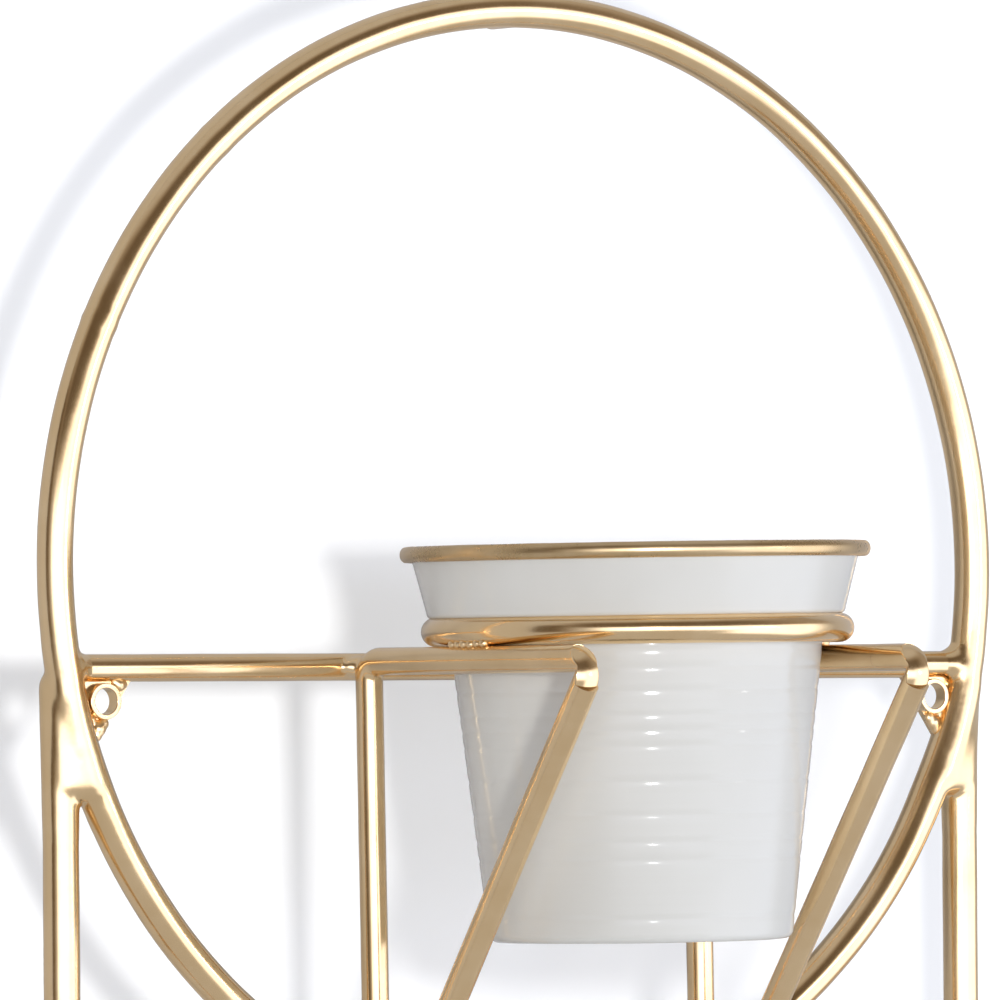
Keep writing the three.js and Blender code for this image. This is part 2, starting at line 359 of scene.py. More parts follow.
# Overlapping shapes become one skin whose inner corners fill up, as brazing does.
def weldSkin(parts, voxel, passes, swell=None):
    mesh = asMesh(joined(parts))
    holder = bpy.data.objects.new("skin", mesh)
    bpy.context.scene.collection.objects.link(holder)
    remesh = holder.modifiers.new("skin", "REMESH")
    remesh.mode = "VOXEL"
    remesh.voxel_size = voxel
    bpy.context.view_layer.update()
    skin = bpy.data.meshes.new_from_object(holder.evaluated_get(bpy.context.evaluated_depsgraph_get()))
    bpy.data.objects.remove(holder)
    bpy.data.meshes.remove(mesh)
    bm = bmesh.new()
    bm.from_mesh(skin)
    bpy.data.meshes.remove(skin)
    soften(bm, passes)
    if swell:
        for vert in bm.verts:
            vert.co += vert.normal * swell(vert.co)
    return bm


def ball(place, size):
    bm = bmesh.new()
    bmesh.ops.create_icosphere(bm, subdivisions=2, radius=1)
    bmesh.ops.scale(bm, verts=bm.verts[:], vec=size)
    bmesh.ops.translate(bm, verts=bm.verts[:], vec=place)
    return bm


# Layout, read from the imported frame
hoopLow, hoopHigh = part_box("upper_hoop")
lowerLow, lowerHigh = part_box("lower_hoop")
frameRod = (hoopHigh.y - hoopLow.y) / 2
hoopRadius = (hoopHigh.x - hoopLow.x) / 2 - frameRod
planeY = (hoopHigh.y + hoopLow.y) / 2
tiers = {
    "upper": Vector((0, planeY, (hoopHigh.z + hoopLow.z) / 2)),
    "lower": Vector((0, planeY, (lowerHigh.z + lowerLow.z) / 2)),
}
sides = {"left": -1, "right": 1}
middleZ = (tiers["upper"].z + tiers["lower"].z) / 2
ringLow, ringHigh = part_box("upper_pot_ring")
thinRod = (ringHigh.z - ringLow.z) / 2


# Hoops
hoopDent = {                # the upper hoop runs a little inside its circle between these degrees
    "depth": 3.0 * mm, "angles": (-11, -27, -52, -88), "shelf": 0.72,
}
hoopMarks = {               # low seams across the rod, at these degrees
    "angles": (130.9, 154.8), "height": 0.18 * mm, "width": 1.1 * mm,
}


def dentAt(tier, degrees):  # how far inside its circle the hoop runs at this angle
    if tier != "upper":
        return 0
    start, full, fade, end = hoopDent["angles"]
    shelf = hoopDent["shelf"]
    inward = shelf * smoothStep(-degrees, -start, -full) + (1 - shelf) * smoothStep(-degrees, -full, -fade)
    return hoopDent["depth"] * inward * (1 - smoothStep(-degrees, -fade, -end))


def dent(bm, tier):
    for vert in bm.verts:
        out = vert.co - tiers[tier]
        out.y = 0
        if out.x > 0:
            degrees = math.degrees(math.atan2(out.z, out.x))
            vert.co -= out.normalized() * dentAt(tier, degrees)


def hoop(tier):
    centre = tiers[tier]
    bm = ringMesh(centre, hoopRadius, frameRod, "Y", steps=384, sides=36)
    bm.normal_update()
    roughen(bm, depth=0.06 * mm, size=14 * mm, seed=1 if tier == "upper" else 2)
    for degrees in hoopMarks["angles"]:
        angle = math.radians(degrees)
        seam = centre + Vector((math.cos(angle), 0, math.sin(angle))) * hoopRadius
        across = Vector((-math.sin(angle), 0, math.cos(angle)))
        for vert in bm.verts:
            away = (vert.co - seam).dot(across)
            if abs(away) < 4 * hoopMarks["width"] and (vert.co - seam).length < 3 * frameRod:
                vert.co += vert.normal * hoopMarks["height"] * math.exp(-(away / hoopMarks["width"]) ** 2)
    dent(bm, tier)
    addPiece(f"{tier}HoopRod", asMesh(bm), frameGold, nodes=[f"{tier}_hoop"])


for tier in tiers:
    hoop(tier)
print("hoops made")


# Side rods
sideRodShape = inMetres({   # their ends flare a little, to lie along the hoops
    "spread": 144.7, "back": 2.7, "rise": 2.7, "flareOut": 0.9, "flareLength": 48,
})


def sideRodLine(side):
    s = sideRodShape
    endDrop = math.sqrt(hoopRadius ** 2 - s["spread"] ** 2)
    top = tiers["upper"].z - endDrop + s["rise"]
    bottom = tiers["lower"].z + endDrop - s["rise"]
    line = []
    steps = 160
    for step in range(steps + 1):
        z = top + (bottom - top) * step / steps
        run = min(1, min(top - z, z - bottom) / s["flareLength"])
        x = s["spread"] + s["flareOut"] * (1 - run) ** 2
        line.append(Vector((side * x, planeY + s["back"], z)))
    return line


def sideRod(name, side):
    bm = rod(sideRodLine(side), frameRod, roundFirst=True, roundLast=True, sides=36)
    bm.normal_update()
    roughen(bm, depth=0.07 * mm, size=16 * mm, seed=3 + side)
    addPiece(f"{name}SideRod", asMesh(bm), frameGold, nodes=[f"{name}_side_rod"])


for name, side in sides.items():
    sideRod(name, side)
print("side rods made")


# Crossbars
crossbarShape = inMetres({  # below the hoop's middle, and toward the wall
    "drop": 26.5, "back": 1.15,
})
crossbarEnd = math.sqrt(hoopRadius ** 2 - crossbarShape["drop"] ** 2)


def crossbar(tier):
    centre = tiers[tier] + Vector((0, crossbarShape["back"], -crossbarShape["drop"]))
    end = Vector((crossbarEnd, 0, 0))
    steps = 200
    bm = rod([centre + end * (2 * step / steps - 1) for step in range(steps + 1)], thinRod)
    bm.normal_update()
    roughen(bm, depth=0.05 * mm, size=12 * mm, seed=5)
    addPiece(f"{tier}CrossbarRod", asMesh(bm), frameGold, nodes=[f"{tier}_crossbar"])


for tier in tiers:
    crossbar(tier)


# Brackets: post, arm and strut from one rod
bracketShape = inMetres({   # Y is measured from the hoops' plane, and a drop from the hoop's middle
    "spread": 52.5, "topDrop": 25.15, "topY": -6.35, "footY": -8.65, "elbowY": -107.35,
    "topBend": 5, "strutFootRise": 4.4, "postOverrun": 3,
})
# Each bracket is turned a little, so its post stands left of its corner with the strut.
bracketLean = {             # along X; the strut's foot is measured from the post
    "left": inMetres({"post": -1.9, "elbow": 0.2, "strutFoot": -1.0}),
    "right": inMetres({"post": -2.3, "elbow": 0.3, "strutFoot": -1.8}),
}
elbowCap = {                # the ground corner of arm and strut, a shallow dome; their rods start a gap away
    "back": 3.0 * mm, "down": 2.6 * mm, "tilt": 12, "radius": 8.5 * mm, "reach": 20 * mm,
    "rodGap": 8 * mm, "stouter": 0.02 * mm, "coreOut": 2.5 * mm, "coreIn": 4 * mm,
    "faceShare": 0.55, "topShare": 0.4, "voxel": 0.3 * mm, "passes": 5, "lastPasses": 6,
}
hoopCrossing = math.sqrt(hoopRadius ** 2 - bracketShape["spread"] ** 2)
crossingDrops = {"upper": tiers["upper"].z - tiers["lower"].z - hoopCrossing, "lower": hoopCrossing}


def postPlace(tier, name, drop):
    s = bracketShape
    lean = (s["footY"] - s["topY"]) / (hoopCrossing - s["topDrop"])
    x = sides[name] * s["spread"] + bracketLean[name]["post"]
    return tiers[tier] + Vector((x, s["topY"] + lean * (drop - s["topDrop"]), -drop))


def elbowPlace(tier, name):
    x = sides[name] * bracketShape["spread"] + bracketLean[name]["elbow"]
    return tiers[tier] + Vector((x, bracketShape["elbowY"], -bracketShape["topDrop"]))


def strutFoot(tier, name):
    beside = postPlace(tier, name, crossingDrops[tier] - bracketShape["strutFootRise"])
    return beside + Vector((bracketLean[name]["strutFoot"], 0, 0))


def postLine(tier, name):
    s = bracketShape
    bottom = postPlace(tier, name, crossingDrops[tier] + s["postOverrun"])
    top = postPlace(tier, name, s["topDrop"])
    armEnd = elbowPlace(tier, name) + Vector((0, elbowCap["rodGap"], 0))
    return bentLine([(bottom, 0), (top, s["topBend"]), (armEnd, 0)])


def strutLine(tier, name):
    foot, corner = strutFoot(tier, name), elbowPlace(tier, name)
    return bentLine([(corner + (foot - corner).normalized() * elbowCap["rodGap"], 0), (foot, 0)])


def bracket(tier, name):
    post = rod(postLine(tier, name), thinRod, roundFirst=True)
    strut = rod(strutLine(tier, name), thinRod, roundLast=True)
    bm = joined([post, strut])
    bm.normal_update()
    roughen(bm, depth=0.05 * mm, size=11 * mm, seed=7 + sides[name])
    addPiece(f"{tier}{name.title()}BracketRod", asMesh(bm), frameGold,
             nodes=[f"{tier}_{name}_bracket"])


def elbow(tier, name):
    s = elbowCap
    corner = elbowPlace(tier, name)
    arm = (postPlace(tier, name, bracketShape["topDrop"]) - corner).normalized()
    strut = (strutFoot(tier, name) - corner).normalized()
    parts = [rod([corner + way * s["reach"] * step / 12 for step in range(13)],
                 thinRod + s["stouter"], roundFirst=True) for way in (arm, strut)]
    inward = (arm + strut).normalized()
    core = [corner - inward * s["coreOut"], corner + inward * s["coreIn"]]
    parts.append(rod(core, thinRod, roundFirst=True, roundLast=True))
    bm = weldSkin(parts, s["voxel"], s["passes"])
    tilt = math.radians(s["tilt"])
    outward = Vector((0, -math.cos(tilt), math.sin(tilt)))
    middle = corner + Vector((0, s["back"], -s["down"])) - outward * s["radius"]
    for vert in bm.verts:
        away = vert.co - middle
        onFace = away.dot(outward) > s["faceShare"] * s["radius"]
        onTop = away.y < 0 and away.z > s["topShare"] * s["radius"]
        if away.length > s["radius"] and (onFace or onTop):
            vert.co = middle + away.normalized() * s["radius"]
    soften(bm, s["lastPasses"])
    addPiece(f"{tier}{name.title()}ElbowWeld", asMesh(bm), frameGold, sharp=180)


for tier in tiers:
    for name in sides:
        bracket(tier, name)
        elbow(tier, name)
print("crossbars and brackets made")


# Pot rings
ringShape = {               # the rings' rod is a little stouter, and they rise to the right
    "stouter": 0.25 * mm, "tilt": 0.3,
}
ringRadius = (ringHigh.x - ringLow.x) / 2 - thinRod
potRing = {}                # the middle of each ring


def tiltUp(bm, pivot, degrees):     # the right side rises
    turn = Matrix.Rotation(-math.radians(degrees), 3, "Y")
    bmesh.ops.rotate(bm, verts=bm.verts[:], cent=pivot, matrix=turn)


def potRingRod(tier):
    low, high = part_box(f"{tier}_pot_ring")
    potRing[tier] = (low + high) / 2
    stouter = ringShape["stouter"]
    centre = potRing[tier] + Vector((0, 0, stouter))
    bm = ringMesh(centre, ringRadius, thinRod + stouter, "Z", steps=256, sides=32)
    tiltUp(bm, potRing[tier], ringShape["tilt"])
    bm.normal_update()
    roughen(bm, depth=0.05 * mm, size=10 * mm, seed=9)
    addPiece(f"{tier}PotRingRod", asMesh(bm), frameGold, nodes=[f"{tier}_pot_ring"])


for tier in tiers:
    potRingRod(tier)
print("pot rings made")


# Pots, spun from sheet
potShape = {                # mm; heights above the pot's foot
    "height": 102.6, "bottomRadius": 39.9, "neckRadius": 48.65, "neckLength": 8,
    "collarHeight": 17.9, "collarBottomRadius": 54.9, "collarTopRadius": 58.3,
    "wall": 1.4, "cornerRadius": 2.4, "shoulderRound": 1.5, "neckRound": 0.6, "rimBead": 3.2,
    "lipDrop": 0.5, "underShoulder": 0.2, "clear": 0.3, "insideFoot": 1.5,
}
potMarks = {                # mm; heights of the spinning marks above the foot, and how deep they are
    "rings": ((6.2, 0.17), (21.4, 0.155), (26.2, 0.15), (33.2, 0.145), (41.9, 0.155), (51.0, 0.135),
              (55.0, 0.145), (59.0, 0.135), (65.3, 0.14), (71.3, 0.12), (75.8, 0.125)),
    "width": 0.8, "ripple": 0.005, "onCollar": 0.5,
}
potSeat = {                 # how the pot sits in its ring: a little left of the middle and not quite level
    "shift": -0.5 * mm, "drop": 0.15 * mm, "tilt": 0.55,
}


def potMark(height):        # shallow rings, and a faint ripple between them
    width = potMarks["width"]
    depth = sum(deep * math.exp(-((height - ring) / width) ** 2) for ring, deep in potMarks["rings"])
    ripple = math.sin(height * 1.9) + 0.6 * math.sin(height * 4.3 + 1.2)
    return potMarks["ripple"] * ripple - depth


def seated(bm, tier):
    pivot = potRing[tier] + Vector((0, 0, thinRod))
    tiltUp(bm, pivot, potSeat["tilt"])
    bmesh.ops.translate(bm, verts=bm.verts[:], vec=(potSeat["shift"], 0, -potSeat["drop"]))


def arcPoints(centre, radius, start, end, steps=8):     # start and end in degrees
    turns = [math.radians(start + (end - start) * step / steps) for step in range(steps + 1)]
    return [(centre[0] + radius * math.cos(turn), centre[1] + radius * math.sin(turn)) for turn in turns]


def linePoints(start, end, spacing=0.37):
    count = max(1, round(math.dist(start, end) / spacing))
    return [(start[0] + (end[0] - start[0]) * step / count, start[1] + (end[1] - start[1]) * step / count)
            for step in range(count + 1)]


def potProfile():           # (radius, height): up the outside, over the lip and down the inside
    s = potShape
    height, wall = s["height"], s["wall"]
    shoulder = height - s["collarHeight"]
    neck = shoulder - s["neckLength"]
    beadFoot, lipFoot = height - s["rimBead"], height - s["lipDrop"]
    corner, bend, crease = s["cornerRadius"], s["shoulderRound"], s["neckRound"]
    bottom, neckSide = s["bottomRadius"], s["neckRadius"]
    collar, top = s["collarBottomRadius"], s["collarTopRadius"]
    outer = linePoints((0, 0), (bottom - corner, 0), spacing=2)
    outer += arcPoints((bottom - corner, corner), corner, -90, 0)
    body = linePoints((bottom, corner), (neckSide, neck))[1:]
    body += linePoints((neckSide, neck), (neckSide, shoulder - s["underShoulder"]))[1:]
    outer += [(radius + potMark(level), level) for radius, level in body]
    outer += arcPoints((collar - bend, shoulder + bend), bend, -90, -8)
    collarLine = linePoints((collar, shoulder + bend), (top, beadFoot))[1:]
    outer += [(radius + potMarks["onCollar"] * potMark(level), level) for radius, level in collarLine]
    outer += linePoints((top, beadFoot + s["clear"]), (top, lipFoot), spacing=1)
    lip = arcPoints((top - wall / 2, lipFoot), wall / 2, 0, 180, steps=6)
    inner = linePoints((top - wall, beadFoot), (collar - wall, shoulder + bend + s["clear"]), spacing=1.5)
    inner += arcPoints((collar - wall - bend, shoulder + wall + bend), bend, 0, -90, steps=6)
    inner += arcPoints((neckSide - wall, shoulder + wall - crease), crease, 90, 180, steps=5)
    inner += linePoints((neckSide - wall, neck), (bottom - wall, corner + s["insideFoot"]), spacing=1.5)
    inner += arcPoints((bottom - wall - corner, wall + corner), corner, 0, -90)
    inner += linePoints((bottom - wall - corner, wall), (0, wall), spacing=2)[1:]
    return [(radius * mm, level * mm) for radius, level in outer + lip + inner]


def pot(tier):
    low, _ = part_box(f"{tier}_pot")
    bm = turnedMesh(potProfile(), steps=192)
    bmesh.ops.translate(bm, verts=bm.verts[:], vec=(potRing[tier].x, potRing[tier].y, low.z))
    seated(bm, tier)
    bm.normal_update()
    roughen(bm, depth=0.07 * mm, size=26 * mm, seed=11)
    addPiece(f"{tier}PotShell", asMesh(bm), potEnamel, f"{tier}_planter", [f"{tier}_pot"])


rimShape = {                # the bead is taller than it is deep
    "taller": 1.3, "rise": 0.65 * mm, "inset": 0.15 * mm,
}


def potRim(tier):
    low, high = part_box(f"{tier}_pot_rim")
    bead = (high.z - low.z) / 2
    middle = (low + high) / 2
    beadRadius = (high.x - low.x) / 2 - bead - rimShape["inset"]
    bm = ringMesh(Vector((0, 0, 0)), beadRadius, bead, "Z", steps=320, sides=24)
    bmesh.ops.scale(bm, verts=bm.verts[:], vec=(1, 1, rimShape["taller"]))
    bmesh.ops.translate(bm, verts=bm.verts[:], vec=middle + Vector((0, 0, rimShape["rise"])))
    seated(bm, tier)
    bm.normal_update()
    roughen(bm, depth=0.05 * mm, size=9 * mm, seed=13)
    addPiece(f"{tier}PotRimBead", asMesh(bm), rimGold, f"{tier}_planter", [f"{tier}_pot_rim"])


for tier in tiers:
    pot(tier)
    potRim(tier)
print("pots made")


# Brazed joints
def hoopArc(tier, fromDrop, toDrop, side):
    places = []
    steps = 24
    for step in range(steps + 1):
        drop = fromDrop + (toDrop - fromDrop) * step / steps
        angle = math.asin(-drop / hoopRadius)
        radius = hoopRadius - (dentAt(tier, math.degrees(angle)) if side > 0 else 0)
        places.append(tiers[tier] + Vector((side * math.cos(angle), 0, math.sin(angle))) * radius)
    return places


barEnd = {                  # the crossbar flares at the hoop, and its skin sinks into it further in
    "reach": 19 * mm, "into": 0.8, "flare": 1.9 * mm, "fade": 1.8 * mm,
    "sunk": 0.5 * mm, "sinkFrom": 16 * mm, "sinkTo": 2 * mm, "hoopFrom": 12 * mm, "hoopTo": 42 * mm,
}
sideWeld = {                # the skin over hoop, side rod and the web between them
    "hoopFrom": 8 * mm, "hoopTo": 80 * mm, "rodTo": 92 * mm,
    "webFrom": 27 * mm, "webTo": 61.5 * mm, "webRod": 4.7 * mm, "webForward": 0.7 * mm,
    "webShares": (0.15, 0.3, 0.45, 0.6, 0.75, 0.9), "webSteps": 12, "voxel": 0.5 * mm, "passes": 24,
    # the swell turns to a sink, a share of it, at the reach, and fades out so many rods inside the hoop
    "swell": 0.24 * mm, "sink": 0.5, "reach": 38 * mm, "inside": 1.3,
}


def crossbarEndRod(tier, side):
    s = barEnd
    bar = tiers[tier] + Vector((side * crossbarEnd, crossbarShape["back"], -crossbarShape["drop"]))
    start = bar - Vector((side * s["reach"], 0, 0))
    end = bar - Vector((side * frameRod * s["into"], 0, 0))
    stops = [start + (end - start) * step / 32 for step in range(33)]
    radii = [thinRod + s["flare"] * math.exp(-(end - stop).length / s["fade"])
             - s["sunk"] * smoothStep((stop - start).length, s["sinkFrom"], s["sinkTo"]) for stop in stops]
    return rodMesh(stops, radii)


def sideJoint(tier, side, withCrossbar):    # the web is a few rods laid between hoop and side rod
    s = sideWeld
    down = 1 if tier == "upper" else -1
    arc = hoopArc(tier, down * s["hoopFrom"], down * s["hoopTo"], side)
    line = sideRodLine(side)[::down]
    reach = [place for place in line if abs(place.z - tiers[tier].z) < s["rodTo"]]
    parts = [rod(arc, frameRod), rod(reach, frameRod, roundFirst=True)]
    for share in s["webShares"]:
        web = []
        for step in range(s["webSteps"] + 1):
            z = tiers[tier].z - down * (s["webFrom"] + (s["webTo"] - s["webFrom"]) * step / s["webSteps"])
            onHoop = min(arc, key=lambda place: abs(place.z - z))
            onRod = min(line, key=lambda place: abs(place.z - z))
            middle = onHoop.lerp(onRod, share)
            web.append(Vector((middle.x, middle.y - s["webForward"], z)))
        parts.append(rod(web, s["webRod"], roundFirst=True, roundLast=True))
    if withCrossbar:
        parts.append(crossbarEndRod(tier, side))
    arcMiddle = arc[len(arc) // 2].z

    def swell(place):       # outward at the web, and back under the rods toward the ends and on the crossbar
        along = 1 - (1 + s["sink"]) * smoothStep(abs(place.z - arcMiddle) / s["reach"], 0.5, 1.0)
        out = place - tiers[tier]
        across = smoothStep(math.hypot(out.x, out.z), hoopRadius - s["inside"] * frameRod, hoopRadius)
        return s["swell"] * along * across

    return weldSkin(parts, s["voxel"], s["passes"], swell)


def crossbarJoint(tier, side):              # where no side rod meets the hoop
    arc = hoopArc(tier, barEnd["hoopFrom"], barEnd["hoopTo"], side)
    parts = [rod(arc, frameRod), crossbarEndRod(tier, side)]
    return weldSkin(parts, sideWeld["voxel"], sideWeld["passes"])


for name, side in sides.items():
    for tier in tiers:
        bm = sideJoint(tier, side, tier == "upper")
        roughen(bm, depth=0.08 * mm, size=7 * mm, seed=17 + side)
        addPiece(f"{name}{tier.title()}RodWeld", asMesh(bm), weldGold, sharp=180)
    bm = crossbarJoint("lower", side)
    roughen(bm, depth=0.08 * mm, size=7 * mm, seed=18 + side)
    addPiece(f"{name}LowerCrossbarWeld", asMesh(bm), weldGold, sharp=180)
print("side joints brazed")


bracketWeld = {             # how far each skin runs along its rods, and the braze that fills the corner
    "barReach": 12 * mm, "topReach": 21 * mm, "armReach": 20 * mm,
    "arcSpan": 22 * mm, "postReach": 16 * mm, "strutReach": 20 * mm,
    "barFill": (5.6 * mm, 2.6 * mm, 3.0 * mm), "footFill": (4.9 * mm, 2.6 * mm, 4.4 * mm), "sunk": 0.3 * mm,
    "voxel": 0.4 * mm, "passes": 16,
}


def near(line, z, reach):
    return [place for place in line if abs(place.z - z) < reach]


def crossbarFill(tier, name):               # crossbar and post, side by side
    w = bracketWeld
    post = postPlace(tier, name, crossbarShape["drop"])
    bar = Vector((post.x, planeY + crossbarShape["back"], post.z))
    across = Vector((w["barReach"], 0, 0))
    top = [place for place in postLine(tier, name)
           if (place - bar).length < w["topReach"] and place.y > planeY - w["armReach"]]
    parts = [rod([bar - across, bar, bar + across], thinRod), rod(top, thinRod),
             ball((bar + post) / 2, w["barFill"])]
    return weldSkin(parts, w["voxel"], w["passes"])


def footFill(tier, name):                   # post and strut in front of the hoop below them
    w = bracketWeld
    up = 1 if tier == "upper" else -1
    x = postPlace(tier, name, 0).x
    arc = [tiers["lower"] + Vector((along, 0, up * math.sqrt(hoopRadius ** 2 - along ** 2)))
           for along in (x + (step / 12 - 0.5) * w["arcSpan"] for step in range(13))]
    crossing = arc[len(arc) // 2]
    post = near(postLine(tier, name), crossing.z, w["postReach"])
    strut = near(strutLine(tier, name), crossing.z, w["strutReach"])
    parts = [rod(arc, frameRod), rod(post, thinRod, roundFirst=True), rod(strut, thinRod, roundLast=True),
             ball(crossing - Vector((0, frameRod - w["sunk"], 0)), w["footFill"])]
    return weldSkin(parts, w["voxel"], w["passes"])


for tier in tiers:
    for name, side in sides.items():
        for label, fill in (("Crossbar", crossbarFill), ("Foot", footFill)):
            bm = fill(tier, name)
            roughen(bm, depth=0.08 * mm, size=4 * mm, seed=21 + side)
            addPiece(f"{tier}{name.title()}Bracket{label}Weld", asMesh(bm), weldGold, sharp=180)
print("bracket joints brazed")


ringWeld = {                # a short run of ripples where the ring lies on each arm
    "from": -6.0 * mm, "to": 8.0 * mm, "count": 6, "radius": 1.55 * mm, "outward": 1.5 * mm, "long": 1.2,
    "under": 0.1 * mm, "voxel": 0.22 * mm, "passes": 6,
}


def ringJoint(tier, side):
    w = ringWeld
    random.seed(40 + side)
    seat = Vector((side * ringRadius, potRing[tier].y, potRing[tier].z - thinRod - w["under"]))
    parts = []
    for index in range(w["count"]):
        y = w["from"] + (w["to"] - w["from"]) * index / (w["count"] - 1)
        curveIn = ringRadius - math.sqrt(ringRadius ** 2 - y ** 2)
        size = w["radius"] * (0.85 + 0.3 * random.random())
        lift = (0.1 + 0.4 * random.random()) * mm
        place = seat + Vector((side * (w["outward"] - 0.5 * curveIn), -y, lift))
        parts.append(ball(place, (size * w["long"], size, size)))
    return weldSkin(parts, w["voxel"], w["passes"])


for tier in tiers:
    for name, side in sides.items():
        skin = ringJoint(tier, side)
        addPiece(f"{tier}{name.title()}RingWeld", asMesh(skin), beadGold, sharp=180)
print("ring joints brazed")


# Wall fixings
eyeletShape = {             # mm
    "outer": 4.75, "bore": 3.45, "length": 4.2, "round": 0.22,
}
gussetShape = {             # mm, degrees below level, and shares of the rods that cover its edges
    "hole": 3.62, "margin": -0.3, "slope": 56, "underBar": 0.5, "underHoop": 0.6,
}
eyeletBraze = {             # mm; each lump's place toward the frame's middle, up and back, and its radius
    "lumps": (
        (5.4, 4.1, 1.2, 1.9), (4.3, 4.9, 1.4, 1.7), (6.8, 4.3, 1.6, 1.4),
        (-1.0, -7.2, 1.1, 2.1), (0.3, -5.8, 1.2, 1.8), (-1.8, -9.0, 1.2, 1.7), (-3.4, -4.8, 1.8, 1.9),
    ),
    "flat": 0.8, "voxel": 0.3, "passes": 12,
}


def eyelet(name):
    s = eyeletShape
    low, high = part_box(f"{name}_wall_eyelet")
    centre = (low + high) / 2
    outer, bore, bend = s["outer"], s["bore"], s["round"]
    profile = arcPoints((outer - bend, bend), bend, 0, -90, steps=5)
    profile += arcPoints((bore + bend, bend), bend, -90, -180, steps=5)
    profile += arcPoints((bore + bend, s["length"] - bend), bend, 180, 90, steps=5)
    profile += arcPoints((outer - bend, s["length"] - bend), bend, 90, 0, steps=5)
    profile.append(profile[0])
    bm = turnedMesh([(radius * mm, height * mm) for radius, height in profile], steps=64)
    bmesh.ops.rotate(bm, verts=bm.verts[:], cent=(0, 0, 0), matrix=Matrix.Rotation(-math.pi / 2, 3, "X"))
    bmesh.ops.translate(bm, verts=bm.verts[:], vec=(centre.x, low.y, centre.z))
    bm.normal_update()
    roughen(bm, depth=0.05 * mm, size=3 * mm, seed=23)
    addPiece(f"{name}WallEyelet", asMesh(bm), weldGold, nodes=[f"{name}_wall_eyelet"], sharp=60)
    return centre


def gusset(name, side, eye):            # the plate behind the eyelet, in the corner of hoop and crossbar
    s = gussetShape
    low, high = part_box(f"{name}_gusset")
    centre = tiers["upper"]
    slope = math.radians(s["slope"])
    normal = Vector((-math.sin(slope), 0, -math.cos(slope)))
    along = Vector((math.cos(slope), 0, -math.sin(slope)))
    right = Vector((abs(eye.x), 0, eye.z - centre.z))
    edge = right + normal * (eyeletShape["outer"] + s["margin"]) * mm
    topZ = -crossbarShape["drop"] - thinRod * s["underBar"]
    topCorner = edge + along * ((topZ - edge.z) / along.z)
    arcRadius = hoopRadius - frameRod * s["underHoop"]
    reach = -edge.dot(along) + math.sqrt(edge.dot(along) ** 2 - edge.length_squared + arcRadius ** 2)
    lowCorner = edge + along * reach
    startAngle = math.atan2(lowCorner.z, lowCorner.x)
    endAngle = math.asin(topZ / arcRadius)
    bm = bmesh.new()
    turns = [startAngle + (endAngle - startAngle) * step / 10 for step in range(11)]
    outline = [topCorner] + [Vector((math.cos(turn), 0, math.sin(turn))) * arcRadius for turn in turns]
    outer = [bm.verts.new(place) for place in outline]
    hole = [bm.verts.new(right + Vector((math.cos(turn), 0, math.sin(turn))) * s["hole"] * mm)
            for turn in (2 * math.pi * step / 48 for step in range(48))]
    edges = [bm.edges.new((loop[index], loop[(index + 1) % len(loop)]))
             for loop in (outer, hole) for index in range(len(loop))]
    bmesh.ops.triangle_fill(bm, use_beauty=True, edges=edges)
    faces = bmesh.ops.extrude_face_region(bm, geom=bm.faces[:])
    moved = [item for item in faces["geom"] if isinstance(item, bmesh.types.BMVert)]
    bmesh.ops.translate(bm, verts=moved, vec=(0, high.y - low.y, 0))
    bmesh.ops.translate(bm, verts=bm.verts[:], vec=(0, low.y, centre.z))
    bmesh.ops.scale(bm, verts=bm.verts[:], vec=(side, 1, 1))
    bmesh.ops.recalc_face_normals(bm, faces=bm.faces[:])
    addPiece(f"{name}GussetPlate", asMesh(bm), weldGold, nodes=[f"{name}_gusset"], sharp=30)


def eyeletBeads(name, side, eye):       # lumps of braze round the eyelet
    s = eyeletBraze
    parts = [ball(eye + Vector((-side * inward, depth, up)) * mm, Vector((size, size * s["flat"], size)) * mm)
             for inward, up, depth, size in s["lumps"]]
    skin = weldSkin(parts, s["voxel"] * mm, s["passes"])
    addPiece(f"{name}EyeletWeld", asMesh(skin), beadGold, sharp=180)


for name, side in sides.items():
    eye = eyelet(name)
    gusset(name, side, eye)
    eyeletBeads(name, side, eye)


standoffShape = {           # a turned foot to the wall, brazed to the back of its rod
    "edge": 0.4 * mm, "weldReach": 9 * mm, "rodReach": 10 * mm, "arc": 0.13, "voxel": 0.45 * mm, "passes": 22,
}


def standoff(name, rodCentre, rodY=planeY):
    s = standoffShape
    low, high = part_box(f"{name}_standoff")
    centre = (low + high) / 2
    radius, length, edge = (high.x - low.x) / 2, high.y - rodY, s["edge"]
    profile = [(0, 0)] + arcPoints((radius - edge, edge), edge, -90, 0, steps=5)
    profile += [(radius, length * share) for share in (0.25, 0.5, 0.75, 1.0)] + [(0, length)]
    bm = turnedMesh(profile, steps=48)
    bmesh.ops.rotate(bm, verts=bm.verts[:], cent=(0, 0, 0), matrix=Matrix.Rotation(math.pi / 2, 3, "X"))
    bmesh.ops.translate(bm, verts=bm.verts[:], vec=(centre.x, high.y, centre.z))
    addPiece(f"{name}StandoffFoot", asMesh(bm), frameGold, nodes=[f"{name}_standoff"])
    top = Vector((centre.x, rodY, centre.z))
    foot = rod([top, top + Vector((0, s["weldReach"], 0))], radius)
    skin = weldSkin([foot, rod(rodCentre, frameRod)], s["voxel"], s["passes"])
    addPiece(f"{name}StandoffWeld", asMesh(skin), weldGold, sharp=180)


def outerArc(tier, up):     # the hoop's top or bottom, where a standoff meets it
    turns = [(step / 10 - 0.5) * standoffShape["arc"] for step in range(11)]
    return [tiers[tier] + Vector((math.sin(turn), 0, up * math.cos(turn))) * hoopRadius for turn in turns]


